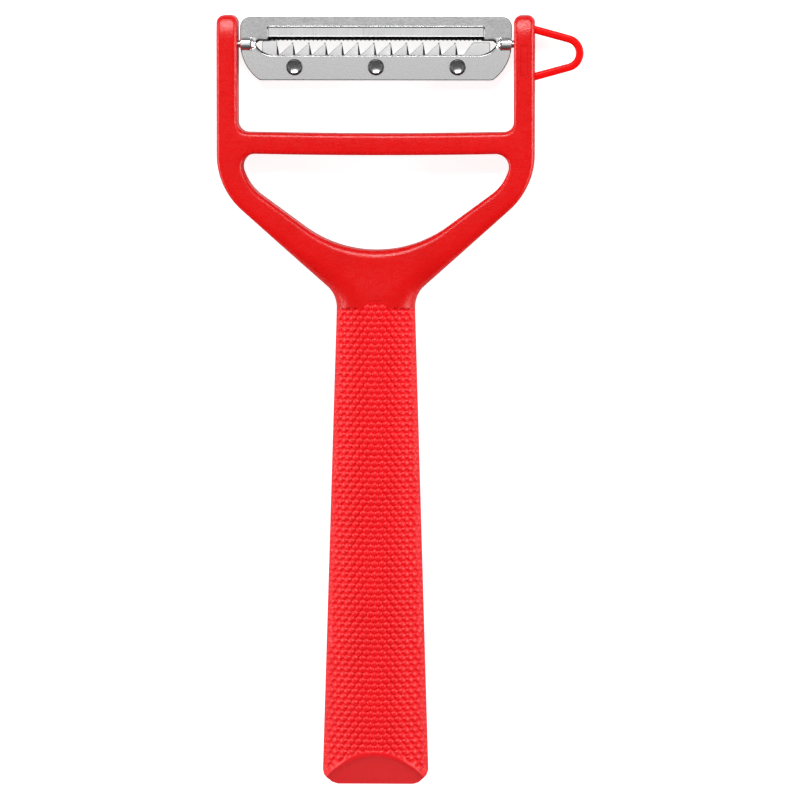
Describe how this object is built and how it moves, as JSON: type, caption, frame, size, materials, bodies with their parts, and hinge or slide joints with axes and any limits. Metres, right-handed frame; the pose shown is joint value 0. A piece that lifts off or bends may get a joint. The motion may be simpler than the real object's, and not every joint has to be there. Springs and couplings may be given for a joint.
{
  "type": "swivel peeler with julienne comb",
  "caption": "Wide Y-shaped swivel peeler: slotted serrated blade with a julienne comb between two arms, crossbar yoke, knurled grip and a side loop for removing eyes.",
  "frame": {"origin": "back face of the yoke's web, on the centre line of the handle, where the peeler rests when it lies down", "axes": "+Y from the handle's butt to the blade, +Z out of the front face, +X to the side with the eye loop"},
  "size_m": [0.0736, 0.155, 0.0125],
  "materials": {
    "frame_plastic": "fine moulded grain",
    "grip_rubber": "soft touch, staggered raised knurl",
    "loop_plastic": "smooth moulded",
    "blade_steel": "satin stainless with a ground edge",
    "comb_steel": "satin stainless",
    "rivet_steel": "polished, dished heads"
  },
  "bodies": {
    "handle": {"yoke_frame": "frame_plastic", "grip_sleeve": "grip_rubber", "eye_remover": "loop_plastic"},
    "blade": {"peeling_blade": "blade_steel", "julienne_blade": "comb_steel", "blade_rivets": "rivet_steel"}
  },
  "joints": [
    {"name": "blade_swivel", "type": "hinge", "parent": "handle", "child": "blade", "pos_m": [0, 0.0472, 0.004], "axis": [1, 0, 0], "continuous": true}
  ]
}
